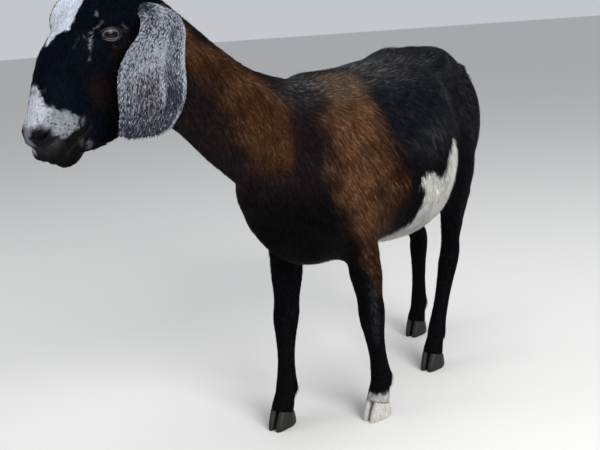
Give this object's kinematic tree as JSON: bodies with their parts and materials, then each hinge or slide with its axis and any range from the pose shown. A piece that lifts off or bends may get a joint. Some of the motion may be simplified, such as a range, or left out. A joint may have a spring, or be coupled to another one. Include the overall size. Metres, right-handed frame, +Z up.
{
  "type": "nubian goat",
  "caption": "Young Nubian doe goat standing with drooping ears and a convex face, cloven hooves flat on the ground.",
  "frame": {"origin": "on the ground under the middle of the animal's box", "axes": "+Z up, the animal faces -Y, its left side is +X"},
  "size_m": [0.2978, 1.2446, 0.878],
  "materials": {
    "coat_black": "short black hair with a slight sheen",
    "coat_brown": "short rust brown hair with black and white patches",
    "coat_grey": "black and white hairs mixed, seen as grey speckle",
    "hoof_dark": "dull dark horn",
    "hoof_pale": "dull pale horn",
    "eye": "wet, clear and glossy"
  },
  "bodies": {
    "root": {"cannon_fore_left": "coat_black", "cannon_fore_right": "coat_black", "cannon_hind_left": "coat_black", "cannon_hind_right": "coat_black", "claw_fore_left_inner": "hoof_pale", "claw_fore_left_outer": "hoof_pale", "claw_fore_right_inner": "hoof_dark", "claw_fore_right_outer": "hoof_dark", "claw_hind_left_inner": "hoof_dark", "claw_hind_left_outer": "hoof_dark", "claw_hind_right_inner": "hoof_dark", "claw_hind_right_outer": "hoof_dark", "dewclaw_fore_left_inner": "hoof_dark", "dewclaw_fore_left_outer": "hoof_dark", "dewclaw_fore_right_inner": "hoof_dark", "dewclaw_fore_right_outer": "hoof_dark", "dewclaw_hind_left_inner": "hoof_dark", "dewclaw_hind_left_outer": "hoof_dark", "dewclaw_hind_right_inner": "hoof_dark", "dewclaw_hind_right_outer": "hoof_dark", "ear_left": "coat_grey", "ear_right": "coat_grey", "eye_left": "eye", "eye_right": "eye", "forearm_left": "coat_black", "forearm_right": "coat_black", "gaskin_left": "coat_black", "gaskin_right": "coat_black", "head": "coat_black", "neck": "coat_brown", "pastern_fore_left": "coat_black", "pastern_fore_right": "coat_black", "pastern_hind_left": "coat_black", "pastern_hind_right": "coat_black", "tail": "coat_black", "torso": "coat_brown"}
  },
  "joints": []
}
